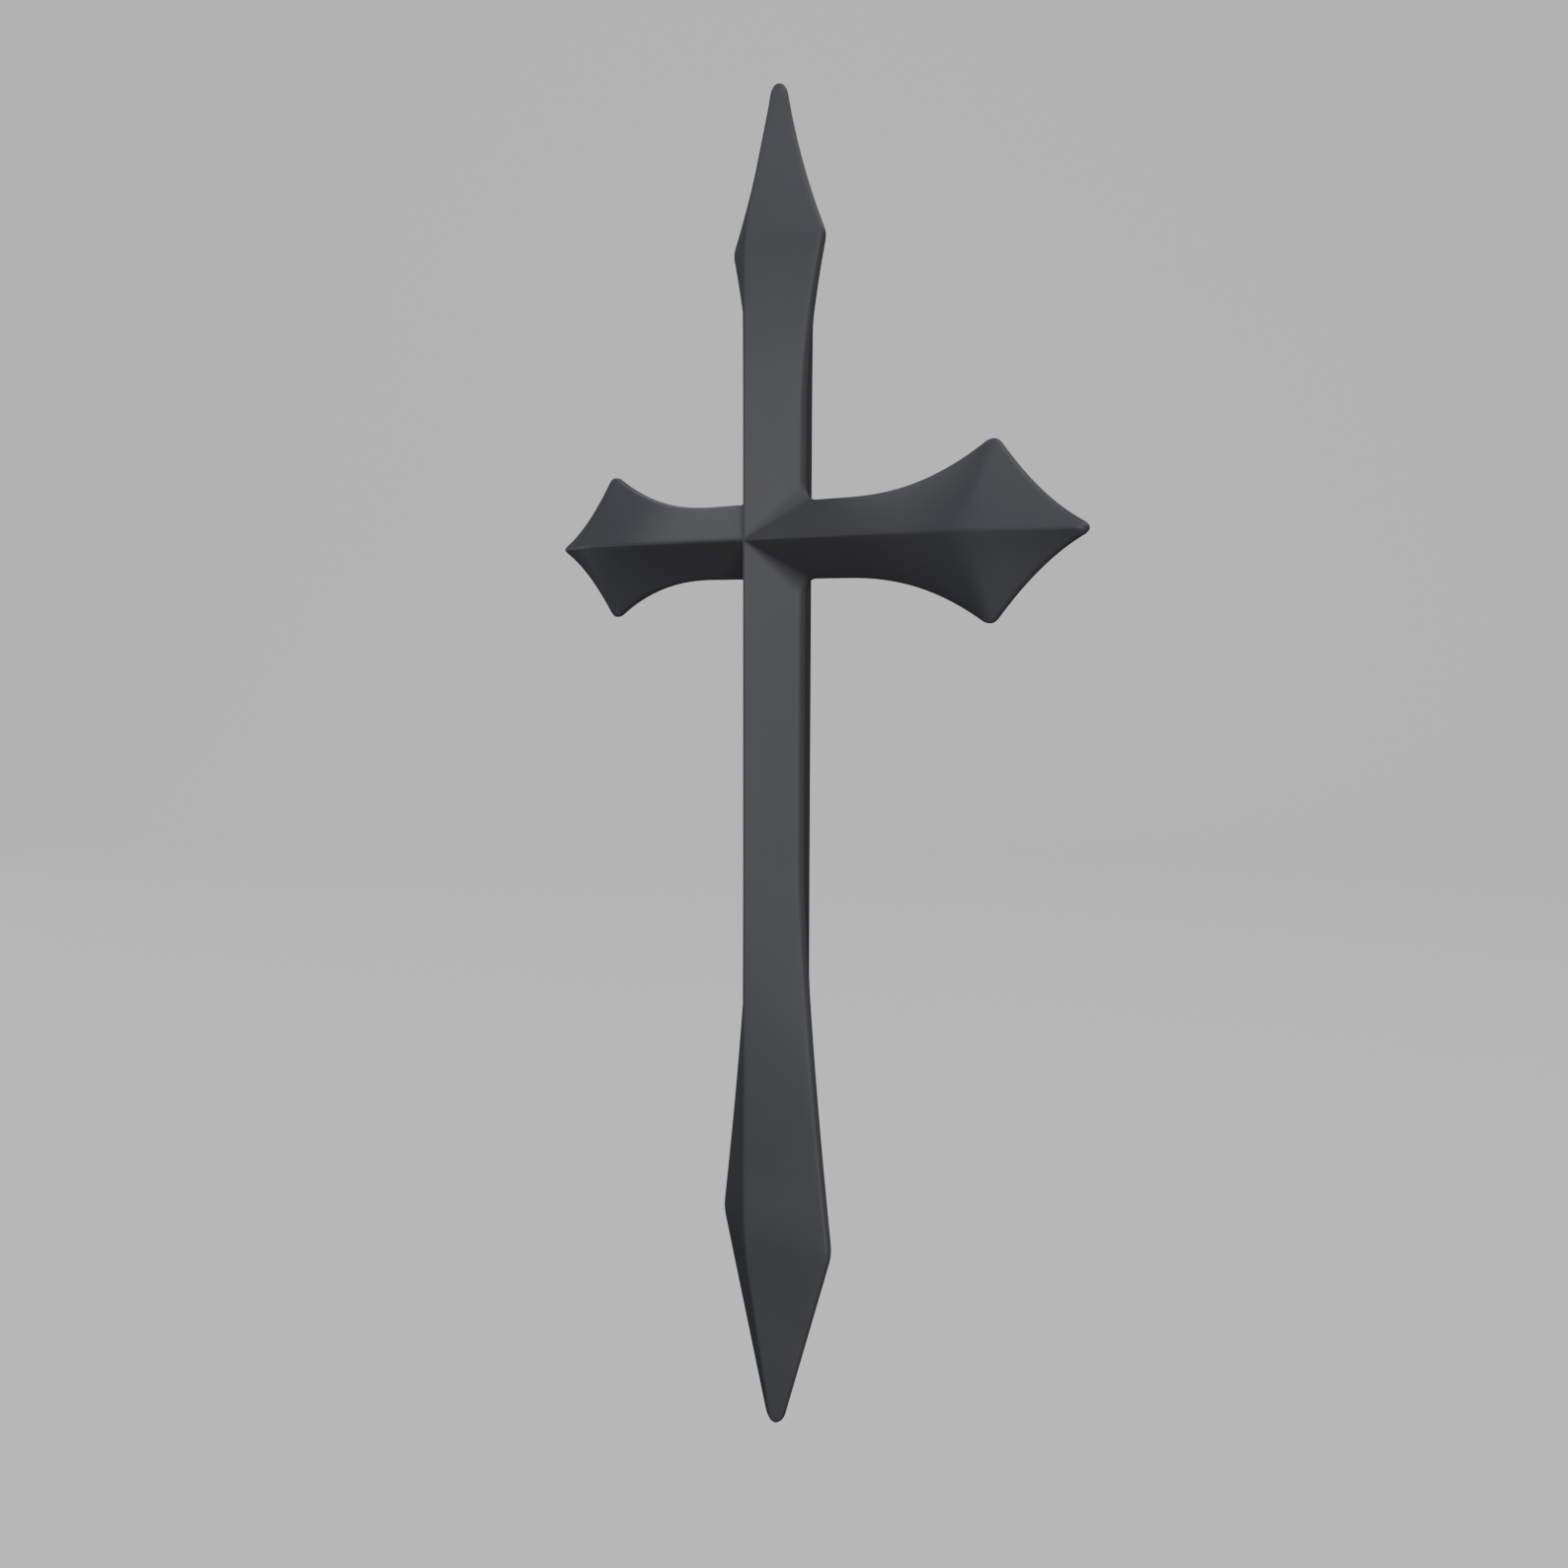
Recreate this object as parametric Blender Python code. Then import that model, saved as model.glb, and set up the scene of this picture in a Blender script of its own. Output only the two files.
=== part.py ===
"""Wrought iron cross, one forged piece, modelled in metres with +Z up.

The stem and the bar are ridged on the front and on the back, so their section is a diamond
whose two side corners are dressed to a narrow edge. Each of the four arms widens in a hollow
curve to a pair of corners and then runs to a blunt point. The cross stands upright in the XZ
plane with its front towards -Y, and the origin is on the back ridge behind the crossing.
"""
import math

import bmesh
import bpy

# Driving dimensions in metres
HALF_WIDTH = 0.01115        # from the centre line to the side edge, along the plain bar
RIDGE = 0.0135              # from the middle plane to the front or back ridge
EDGE = 0.0021               # thickness of the side edge
TIP_THICKNESS = 0.0044      # thickness of the metal at the points
BAR_REACH = 0.1112          # from the centre to the point of a side arm
TOP_REACH = 0.1276          # from the centre to the upper point
BOTTOM_REACH = 0.2758       # from the centre to the lower point

# Each arm: start of the flare, corners, half width at the corners, how late the flare bends
# (1 is straight), hollow of the edge from corner to point, half width at the point
SIDE_ARM = dict(start=0.029, corner=0.0822, width=0.0238, bend=2.37, hollow=0.0026, tip=0.0011,
                reach=BAR_REACH, corner_round=0.0016)
TOP_ARM = dict(start=0.0345, corner=0.0838, width=0.0193, bend=1.85, hollow=0.0018, tip=0.0021,
               reach=TOP_REACH, corner_round=0.0008)
BOTTOM_ARM = dict(start=0.0957, corner=0.2120, width=0.0246, bend=1.4, hollow=0.0, tip=0.0026,
                  reach=BOTTOM_REACH, corner_round=0.0008)

NOSE_LENGTH = 1.4           # length of the round point, as a multiple of its half width
RIDGE_BLEND = 0.0024        # how softly the level ridge bends down towards the point

# Steps along an arm
FLARE_STEPS = 14
CORNER_STEPS = 4
HEAD_STEPS = 10
TIP_STEPS = 4

IRON_COLOUR = (0.062, 0.063, 0.066, 1.0)
IRON_ROUGHNESS = 0.55
IRON_METALLIC = 0.25


def smooth_min(a, b, blend):
    """The smaller of two widths, with the corner between them rounded over blend."""
    h = max(blend - abs(a - b), 0.0) / blend
    return min(a, b) - h * h * blend / 4.0


def flare_width(arm, s):
    """Half width of the hollow flare at the distance s from the centre."""
    part = max(s - arm["start"], 0.0) / (arm["corner"] - arm["start"])
    return HALF_WIDTH + (arm["width"] - HALF_WIDTH) * part ** arm["bend"]


def head_width(arm, s):
    """Half width between the corners and the point, hollowed by a shallow parabola."""
    part = (s - arm["corner"]) / (arm["reach"] - arm["corner"])
    straight = arm["width"] + (arm["tip"] - arm["width"]) * part
    return straight - 4.0 * arm["hollow"] * max(part, 0.0) * (1.0 - part)


def half_width(arm, s):
    """Half width of an arm at the distance s from the centre."""
    width = smooth_min(flare_width(arm, s), head_width(arm, s), arm["corner_round"] * 2.0)
    nose = arm["tip"] * NOSE_LENGTH
    left = arm["reach"] - s
    if left < nose:
        # The point is blunt and round
        width *= math.sqrt(max(1.0 - (1.0 - left / nose) ** 2, 0.0)) * 0.55 + 0.45
    return width


def ridge_height(arm, s):
    """Height of the ridge above the middle plane: level to the corners, then falling."""
    part = (s - arm["corner"]) / (arm["reach"] - arm["corner"])
    falling = RIDGE + (TIP_THICKNESS / 2.0 - RIDGE) * part
    return smooth_min(RIDGE, falling, RIDGE_BLEND)


def spread(a, b, count):
    return [a + (b - a) * i / count for i in range(count)]


def stations(arm):
    """Distances from the centre at which the section is drawn."""
    corner = arm["corner"]
    round_zone = arm["corner_round"] * 2.5
    nose = arm["tip"] * NOSE_LENGTH
    places = spread(arm["start"], corner - round_zone, FLARE_STEPS)
    places += spread(corner - round_zone, corner + round_zone, CORNER_STEPS * 2)
    places += spread(corner + round_zone, arm["reach"] - nose, HEAD_STEPS)
    places += spread(arm["reach"] - nose, arm["reach"], TIP_STEPS)
    return places + [arm["reach"]]


def section(arm, s):
    """The six corners of the diamond section, as across and depth, going round once."""
    w = half_width(arm, s)
    h = ridge_height(arm, s)
    e = min(EDGE / 2.0, h * 0.8)
    return [(0.0, -h), (w, -e), (w, e), (0.0, h), (-w, e), (-w, -e)]


def two_arm_bar(name, low_arm, high_arm, place):
    """One straight bar from the point of low_arm to the point of high_arm.

    place turns along, across and depth into a point of the cross.
    """
    mesh = bpy.data.meshes.new(name)
    bm = bmesh.new()
    rings = []
    for s in reversed(stations(low_arm)):
        rings.append([bm.verts.new(place(-s, a, d)) for a, d in section(low_arm, s)])
    for s in stations(high_arm):
        rings.append([bm.verts.new(place(s, a, d)) for a, d in section(high_arm, s)])
    for lower, upper in zip(rings, rings[1:]):
        for i in range(6):
            j = (i + 1) % 6
            bm.faces.new((lower[i], lower[j], upper[j], upper[i]))
    bm.faces.new(list(reversed(rings[0])))
    bm.faces.new(rings[-1])
    bmesh.ops.triangulate(bm, faces=bm.faces[:])
    bmesh.ops.recalc_face_normals(bm, faces=bm.faces[:])
    bm.to_mesh(mesh)
    bm.free()
    bar = bpy.data.objects.new(name, mesh)
    bpy.context.scene.collection.objects.link(bar)
    return bar


def iron():
    """Dark, satin, slightly metallic finish."""
    material = bpy.data.materials.new("dark_iron")
    material.use_nodes = True
    shader = material.node_tree.nodes["Principled BSDF"]
    shader.inputs["Base Color"].default_value = IRON_COLOUR
    shader.inputs["Roughness"].default_value = IRON_ROUGHNESS
    shader.inputs["Metallic"].default_value = IRON_METALLIC
    return material


def upright(along, across, depth):
    return (across, depth - RIDGE, along)


def level(along, across, depth):
    return (along, depth - RIDGE, across)


def main():
    for old in list(bpy.data.objects):
        bpy.data.objects.remove(old, do_unlink=True)
    cross = two_arm_bar("cross", BOTTOM_ARM, TOP_ARM, upright)
    cross.data.materials.append(iron())
    bar = two_arm_bar("bar_shape", SIDE_ARM, SIDE_ARM, level)
    bar.hide_render = True
    bar.display_type = "WIRE"
    # Stem and bar meet in mitred valleys that run from the crossing to the inner corners
    join = cross.modifiers.new("join", "BOOLEAN")
    join.operation = "UNION"
    join.object = bar
    cross.data.shade_smooth()
    cross.data.set_sharp_from_angle(angle=math.radians(25.0))


main()
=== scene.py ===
"""Looks of the wrought iron cross: fine rounded mesh, satin iron finish, pale studio."""
import math

import bmesh
import bpy
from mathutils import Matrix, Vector


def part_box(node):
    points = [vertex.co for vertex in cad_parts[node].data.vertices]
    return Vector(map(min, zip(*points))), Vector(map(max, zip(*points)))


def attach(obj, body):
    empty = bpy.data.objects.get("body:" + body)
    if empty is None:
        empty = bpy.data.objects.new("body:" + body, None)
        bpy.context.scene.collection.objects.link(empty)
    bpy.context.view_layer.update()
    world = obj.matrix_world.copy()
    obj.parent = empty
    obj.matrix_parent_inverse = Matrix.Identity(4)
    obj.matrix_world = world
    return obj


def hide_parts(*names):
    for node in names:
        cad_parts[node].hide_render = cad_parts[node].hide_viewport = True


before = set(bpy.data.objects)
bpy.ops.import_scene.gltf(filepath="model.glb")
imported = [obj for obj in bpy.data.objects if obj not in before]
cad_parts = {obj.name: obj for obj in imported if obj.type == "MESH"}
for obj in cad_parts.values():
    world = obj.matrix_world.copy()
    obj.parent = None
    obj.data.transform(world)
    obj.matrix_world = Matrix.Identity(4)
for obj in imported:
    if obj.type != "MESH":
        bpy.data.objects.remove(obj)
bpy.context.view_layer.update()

# The solid's box gives the reaches, the depth and the middle plane
LOW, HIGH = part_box("cross")
RIDGE = (HIGH[1] - LOW[1]) / 2.0
MIDDLE_Y = (HIGH[1] + LOW[1]) / 2.0
BAR_REACH = HIGH[0]
TOP_REACH = HIGH[2]
BOTTOM_REACH = -LOW[2]

# Section of the plain bar, in metres
HALF_WIDTH = 0.01115
EDGE = 0.0021
TIP_THICKNESS = 0.0044
RIDGE_ROUND = 0.0008
RIDGE_BLEND = 0.0024
NOSE_LENGTH = 1.4
EDGE_ROUND = 0.0008

# Each arm: start of the flare, corners, half width at the corners, how late the flare bends
# (1 is straight), hollow of the edge from corner to point, half width at the point
SIDE_ARM = dict(start=0.029, corner=0.0822, width=0.0238, bend=2.37, hollow=0.0026, tip=0.0011,
                reach=BAR_REACH, corner_round=0.0016)
TOP_ARM = dict(start=0.0345, corner=0.0838, width=0.0193, bend=1.85, hollow=0.0018, tip=0.0021,
               reach=TOP_REACH, corner_round=0.0008)
BOTTOM_ARM = dict(start=0.0957, corner=0.2120, width=0.0246, bend=1.4, hollow=0.0, tip=0.0026,
                  reach=BOTTOM_REACH, corner_round=0.0008)

# The fillet in the valleys of the crossing grows with the distance from the apex
VALLEY_FILLET = 0.5
CROSSING_END = 0.021
CROSSING_STEPS = 16
PLAIN_STEP = 0.004
FLARE_STEPS = 60
CORNER_STEPS = 24
HEAD_STEPS = 40
TIP_STEPS = 14
FACET_STEPS = 10
NARROW_STEPS = 2
ROUND_STEPS = 5
FILLET_PASSES = 30
CROSSING_CROWDING = 1.3     # above 1 crowds the rings towards the diagonals
ROUND_ZONE = 2.5            # finely stepped zone each side of a corner, in corner rounds
SMALLEST_TIP = 0.12         # share of the section that is left at the very point
LONGEST_SETBACK = 0.45      # share of a side that one rounded corner may take
THICKEST_EDGE = 0.8         # the edge stays thinner than this share of the depth
ON_THE_RIDGE = 1e-7
WELD = 0.000004
SHORTEST_EDGE = 0.000001

# Satin coating: faint clouds in tint and roughness, and a very fine grain
COATING_IOR = 1.33
COATING_SPECULAR = 0.35
CLOUD_SCALE = 22.0
CLOUD_DETAIL = 4.0
CLOUD_STOPS = ((0.3, (0.040, 0.041, 0.045, 1.0)), (0.7, (0.050, 0.050, 0.052, 1.0)))
ROUGHNESS = (0.52, 0.62)
GRAIN_SCALE = 900.0
GRAIN_DETAIL = 3.0
GRAIN_STRENGTH = 0.05
GRAIN_DEPTH = 0.0002

# Camera. The turn assumes that stem and bar are equally wide. The pitch stands in for a lens
# shift, which would crop the points in other views.
PHOTO_SIZE = 1588.0
FOCAL_PIXELS = 1469.3
CROSSING_PIXEL = (787.8, 547.8)
CAMERA_DISTANCE = 0.4261
AZIMUTH = math.radians(48.5)
PITCH = math.radians(7.15)
ROLL = math.radians(-0.2)
SENSOR = 36.0
CLIP_START = 0.01

# Stage: a floor below the cross that bends up into a wall behind it
FLOOR_DROP = 0.10
FLOOR_IN_FRONT = 3.0
WALL_BEHIND = 2.4
WALL_BEND = 0.8
WALL_BEND_STEPS = 16
WALL_TOP = 3.0
STAGE_HALF_WIDTH = 5.0
STAGE_COLOUR = (0.16, 0.16, 0.165, 1.0)
STAGE_ROUGHNESS = 0.95
STAGE_SPECULAR = 0.1
STAGE_GLOW_COLOUR = (0.985, 0.985, 1.0, 1.0)
STAGE_GLOW = 0.56

# Lights: name, azimuth and elevation in degrees, distance and width in metres, watts, colour
WHITE = (1.0, 1.0, 1.0)
LIGHTS = (
    ("key", 53, 1, 2.6, 1.4, 93.0, WHITE),
    ("top", 70, 75, 1.6, 0.8, 7.0, WHITE),
    ("sky", -10, 45, 1.6, 0.9, 7.5, (0.66, 0.80, 1.0)),
    ("left", -75, 0, 2.0, 0.8, 6.0, WHITE),
    ("back_right", 160, 50, 1.8, 0.8, 10.0, WHITE),
    ("back_left", 250, 45, 1.8, 0.8, 8.0, WHITE),
)
LIGHT_TARGET_Z = -0.05
WORLD_COLOUR = (0.5, 0.5, 0.52, 1.0)
WORLD_STRENGTH = 0.17


def smooth_min(a, b, blend):
    """The smaller of two widths, with the corner between them rounded over blend."""
    h = max(blend - abs(a - b), 0.0) / blend
    return min(a, b) - h * h * blend / 4.0


def flare_width(arm, s):
    part = max(s - arm["start"], 0.0) / (arm["corner"] - arm["start"])
    return HALF_WIDTH + (arm["width"] - HALF_WIDTH) * part ** arm["bend"]


def head_width(arm, s):
    part = (s - arm["corner"]) / (arm["reach"] - arm["corner"])
    straight = arm["width"] + (arm["tip"] - arm["width"]) * part
    return straight - 4.0 * arm["hollow"] * max(part, 0.0) * (1.0 - part)


def nose_factor(arm, s):
    """How much the section shrinks in the blunt round point, from 1 down to SMALLEST_TIP."""
    nose = arm["tip"] * NOSE_LENGTH
    left = arm["reach"] - s
    if left >= nose:
        return 1.0
    shrunk = math.sqrt(max(1.0 - (1.0 - left / nose) ** 2, 0.0))
    return shrunk * (1.0 - SMALLEST_TIP) + SMALLEST_TIP


def half_width(arm, s):
    """Half width of an arm at the distance s from the centre."""
    width = smooth_min(flare_width(arm, s), head_width(arm, s), arm["corner_round"] * 2.0)
    return width * nose_factor(arm, s)


def ridge_height(arm, s):
    """Height of the ridge above the middle plane: level to the corners, then falling."""
    part = (s - arm["corner"]) / (arm["reach"] - arm["corner"])
    falling = RIDGE + (TIP_THICKNESS / 2.0 - RIDGE) * part
    return smooth_min(RIDGE, falling, RIDGE_BLEND) * nose_factor(arm, s)


def rounded_corner(before, corner, after, setback, steps):
    """A corner drawn as a short curve that starts and ends setback away from it."""
    a = before - corner
    b = after - corner
    start = corner + a.normalized() * min(setback, a.length * LONGEST_SETBACK)
    end = corner + b.normalized() * min(setback, b.length * LONGEST_SETBACK)
    points = []
    for i in range(steps + 1):
        t = i / steps
        points.append(start * (1 - t) ** 2 + corner * 2 * t * (1 - t) + end * t * t)
    return points


def section(arm, s):
    """The rounded diamond, going once round, as 2-D points across and depth."""
    w = half_width(arm, s)
    h = ridge_height(arm, s)
    e = min(EDGE / 2.0, h * THICKEST_EDGE)
    front, back = Vector((0.0, -h)), Vector((0.0, h))
    right_front, right_back = Vector((w, -e)), Vector((w, e))
    left_front, left_back = Vector((-w, -e)), Vector((-w, e))
    ring = [left_back, left_front, front, right_front, right_back, back]
    rounds = [EDGE_ROUND, EDGE_ROUND, RIDGE_ROUND, EDGE_ROUND, EDGE_ROUND, RIDGE_ROUND]
    corners = []
    for i, corner in enumerate(ring):
        before, after = ring[i - 1], ring[(i + 1) % 6]
        steps = ROUND_STEPS + 1 if corner.x == 0.0 else ROUND_STEPS
        corners.append(rounded_corner(before, corner, after, rounds[i], steps))
    points = []
    for i, arc in enumerate(corners):
        points += arc
        following = corners[(i + 1) % 6][0]
        # Sides 0 and 3 are the narrow edges, the other four are the wide facets
        steps = NARROW_STEPS if i in (0, 3) else FACET_STEPS
        for k in range(1, steps):
            points.append(arc[-1].lerp(following, k / steps))
    return points


def contour_across(q, x):
    """Across position of the line of equal height q where it is x along the arm."""
    blend = VALLEY_FILLET * q
    z = q
    for _ in range(FILLET_PASSES):
        gap = max(blend - (x - z), 0.0)
        z = q + gap * gap / (4.0 * blend) if blend > 0.0 else q
    return min(z, x)


def crossing_rings(arm):
    """Rings from the diagonals of the crossing out to the plain bar."""
    flat = section(arm, arm["start"] * 0.5)
    rings = []
    for j in range(CROSSING_STEPS + 1):
        t = (j / CROSSING_STEPS) ** CROSSING_CROWDING
        ring = []
        for p in flat:
            q = abs(p.x)
            diagonal = q * (1.0 + VALLEY_FILLET / 4.0)
            along = diagonal + t * (CROSSING_END - diagonal)
            across = math.copysign(contour_across(q, along), p.x) if q > ON_THE_RIDGE else 0.0
            ring.append((along, across, p.y))
        rings.append(ring)
    return rings


def spread(a, b, count):
    return [a + (b - a) * i / count for i in range(count)]


def stations(arm):
    """Distances from the centre at which the section is drawn, close together at the point."""
    corner = arm["corner"]
    zone = arm["corner_round"] * ROUND_ZONE
    nose = arm["tip"] * NOSE_LENGTH
    plain = max(int((arm["start"] - CROSSING_END) / PLAIN_STEP), 2)
    places = spread(CROSSING_END, arm["start"], plain)[1:]
    places += spread(arm["start"], corner - zone, FLARE_STEPS)
    places += spread(corner - zone, corner + zone, CORNER_STEPS)
    places += spread(corner + zone, arm["reach"] - nose, HEAD_STEPS)
    for i in range(TIP_STEPS + 1):
        left = 1.0 - math.sin(math.pi / 2 * i / TIP_STEPS)
        places.append(arm["reach"] - nose * left)
    return places


def add_arm(bm, arm, place):
    """Skin one arm; place turns along, across and depth into a point of the cross."""
    rings = [[bm.verts.new(place(*p)) for p in ring] for ring in crossing_rings(arm)]
    for s in stations(arm):
        rings.append([bm.verts.new(place(s, p.x, p.y)) for p in section(arm, s)])
    for inner, outer in zip(rings, rings[1:]):
        for i in range(len(inner)):
            j = (i + 1) % len(inner)
            bm.faces.new((inner[i], inner[j], outer[j], outer[i]))
    tip = bm.verts.new(place(arm["reach"], 0.0, 0.0))
    last = rings[-1]
    for i in range(len(last)):
        bm.faces.new((last[i], last[(i + 1) % len(last)], tip))


def make_cross():
    """The four arms, welded to each other along the diagonals of the crossing."""
    mesh = bpy.data.meshes.new("cross_iron")
    bm = bmesh.new()
    add_arm(bm, SIDE_ARM, lambda s, a, d: (s, MIDDLE_Y + d, a))
    add_arm(bm, SIDE_ARM, lambda s, a, d: (-s, MIDDLE_Y + d, a))
    add_arm(bm, TOP_ARM, lambda s, a, d: (a, MIDDLE_Y + d, s))
    add_arm(bm, BOTTOM_ARM, lambda s, a, d: (a, MIDDLE_Y + d, -s))
    bmesh.ops.remove_doubles(bm, verts=bm.verts[:], dist=WELD)
    bmesh.ops.dissolve_degenerate(bm, edges=bm.edges[:], dist=SHORTEST_EDGE)
    bmesh.ops.recalc_face_normals(bm, faces=bm.faces[:])
    bm.to_mesh(mesh)
    bm.free()
    mesh.shade_smooth()
    piece = bpy.data.objects.new("cross_iron", mesh)
    bpy.context.scene.collection.objects.link(piece)
    return piece


def iron_material():
    """Satin graphite coating over smooth forged iron."""
    material = bpy.data.materials.new("dark_iron")
    material.use_nodes = True
    nodes, links = material.node_tree.nodes, material.node_tree.links
    shader = nodes["Principled BSDF"]
    shader.inputs["Metallic"].default_value = 0.0
    shader.inputs["IOR"].default_value = COATING_IOR
    shader.inputs["Specular IOR Level"].default_value = COATING_SPECULAR
    place = nodes.new("ShaderNodeTexCoord")
    cloud = nodes.new("ShaderNodeTexNoise")
    cloud.inputs["Scale"].default_value = CLOUD_SCALE
    cloud.inputs["Detail"].default_value = CLOUD_DETAIL
    links.new(place.outputs["Object"], cloud.inputs["Vector"])
    tint = nodes.new("ShaderNodeValToRGB")
    for stop, (position, colour) in zip(tint.color_ramp.elements, CLOUD_STOPS):
        stop.position = position
        stop.color = colour
    links.new(cloud.outputs["Fac"], tint.inputs["Fac"])
    links.new(tint.outputs["Color"], shader.inputs["Base Color"])
    rough = nodes.new("ShaderNodeMapRange")
    rough.inputs["To Min"].default_value, rough.inputs["To Max"].default_value = ROUGHNESS
    links.new(cloud.outputs["Fac"], rough.inputs["Value"])
    links.new(rough.outputs["Result"], shader.inputs["Roughness"])
    grain = nodes.new("ShaderNodeTexNoise")
    grain.inputs["Scale"].default_value = GRAIN_SCALE
    grain.inputs["Detail"].default_value = GRAIN_DETAIL
    links.new(place.outputs["Object"], grain.inputs["Vector"])
    bump = nodes.new("ShaderNodeBump")
    bump.inputs["Strength"].default_value = GRAIN_STRENGTH
    bump.inputs["Distance"].default_value = GRAIN_DEPTH
    links.new(grain.outputs["Fac"], bump.inputs["Height"])
    links.new(bump.outputs["Normal"], shader.inputs["Normal"])
    return material


def stage_material():
    """Matt pale surface with an even glow of its own, as a lit backdrop has."""
    material = bpy.data.materials.new("studio_grey")
    material.use_nodes = True
    shader = material.node_tree.nodes["Principled BSDF"]
    shader.inputs["Base Color"].default_value = STAGE_COLOUR
    shader.inputs["Roughness"].default_value = STAGE_ROUGHNESS
    shader.inputs["Specular IOR Level"].default_value = STAGE_SPECULAR
    shader.inputs["Emission Color"].default_value = STAGE_GLOW_COLOUR
    shader.inputs["Emission Strength"].default_value = STAGE_GLOW
    return material


def add_stage():
    """A pale floor that curves up into a pale wall well behind the cross."""
    mesh = bpy.data.meshes.new("studio_floor")
    floor_z = LOW[2] - FLOOR_DROP
    bend_start = WALL_BEHIND - WALL_BEND
    profile = [(-FLOOR_IN_FRONT, floor_z), (bend_start, floor_z)]
    for i in range(1, WALL_BEND_STEPS + 1):
        a = math.pi / 2 * i / WALL_BEND_STEPS
        profile.append((bend_start + WALL_BEND * math.sin(a),
                        floor_z + WALL_BEND * (1 - math.cos(a))))
    profile.append((WALL_BEHIND, WALL_TOP))
    vertices, faces = [], []
    for side in (-STAGE_HALF_WIDTH, STAGE_HALF_WIDTH):
        for depth, height in profile:
            # The sweep is turned with the camera, so that the wall stays square to the view
            x = side * math.cos(AZIMUTH) - depth * math.sin(AZIMUTH)
            y = side * math.sin(AZIMUTH) + depth * math.cos(AZIMUTH)
            vertices.append((x, y, height))
    n = len(profile)
    for i in range(n - 1):
        faces.append((i, n + i, n + i + 1, i + 1))
    mesh.from_pydata(vertices, [], faces)
    mesh.shade_smooth()
    floor = bpy.data.objects.new("studio_floor", mesh)
    bpy.context.scene.collection.objects.link(floor)
    mesh.materials.append(stage_material())
    # The pale stage is only a ground to look at, so it throws no light on the iron
    floor.visible_diffuse = False
    floor.visible_glossy = False


def add_light(name, place, target, size, power, colour):
    """A round soft light that points at target."""
    data = bpy.data.lights.new(name, "AREA")
    data.shape = "DISK"
    data.size = size
    data.energy = power
    data.color = colour
    light = bpy.data.objects.new(name, data)
    light.location = place
    light.rotation_euler = (Vector(target) - Vector(place)).to_track_quat("-Z", "Y").to_euler()
    bpy.context.scene.collection.objects.link(light)


def around(azimuth, elevation, distance):
    """A place round the crossing; azimuth 0 is in front, and 90 to the cross's right."""
    a, e = math.radians(azimuth), math.radians(elevation)
    return (distance * math.sin(a) * math.cos(e), -distance * math.cos(a) * math.cos(e),
            distance * math.sin(e))


def add_lights():
    target = (0.0, MIDDLE_Y, LIGHT_TARGET_Z)
    for name, azimuth, elevation, distance, size, power, colour in LIGHTS:
        add_light(name, around(azimuth, elevation, distance), target, size, power, colour)
    world = bpy.data.worlds.new("studio")
    world.use_nodes = True
    background = world.node_tree.nodes["Background"]
    background.inputs["Color"].default_value = WORLD_COLOUR
    background.inputs["Strength"].default_value = WORLD_STRENGTH
    bpy.context.scene.world = world


def add_camera():
    """The photograph's camera, placed so that the crossing falls on its own pixel."""
    data = bpy.data.cameras.new("photo_camera")
    data.sensor_width = SENSOR
    data.lens = SENSOR * FOCAL_PIXELS / PHOTO_SIZE
    camera = bpy.data.objects.new("photo_camera", data)
    bpy.context.scene.collection.objects.link(camera)
    forward = Vector((-math.sin(AZIMUTH) * math.cos(PITCH), math.cos(AZIMUTH) * math.cos(PITCH),
                      -math.sin(PITCH)))
    right = Vector((math.cos(AZIMUTH), math.sin(AZIMUTH), 0.0))
    up = right.cross(forward)
    rolled_right = right * math.cos(ROLL) - up * math.sin(ROLL)
    rolled_up = right * math.sin(ROLL) + up * math.cos(ROLL)
    sideways = (CROSSING_PIXEL[0] - PHOTO_SIZE / 2) / FOCAL_PIXELS
    upwards = (PHOTO_SIZE / 2 - CROSSING_PIXEL[1]) / FOCAL_PIXELS
    crossing = Vector((0.0, MIDDLE_Y, 0.0))
    ray = forward + rolled_right * sideways + rolled_up * upwards
    camera.location = crossing - ray * CAMERA_DISTANCE
    turn = forward.to_track_quat("-Z", "Y").to_matrix()
    for row in range(3):
        turn[row][0], turn[row][1], turn[row][2] = rolled_right[row], rolled_up[row], -forward[row]
    camera.rotation_euler = turn.to_euler()
    data.clip_start = CLIP_START
    bpy.context.scene.camera = camera


cross = make_cross()
cross.data.materials.append(iron_material())
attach(cross, "root")
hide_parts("cross")
add_stage()
add_lights()
add_camera()
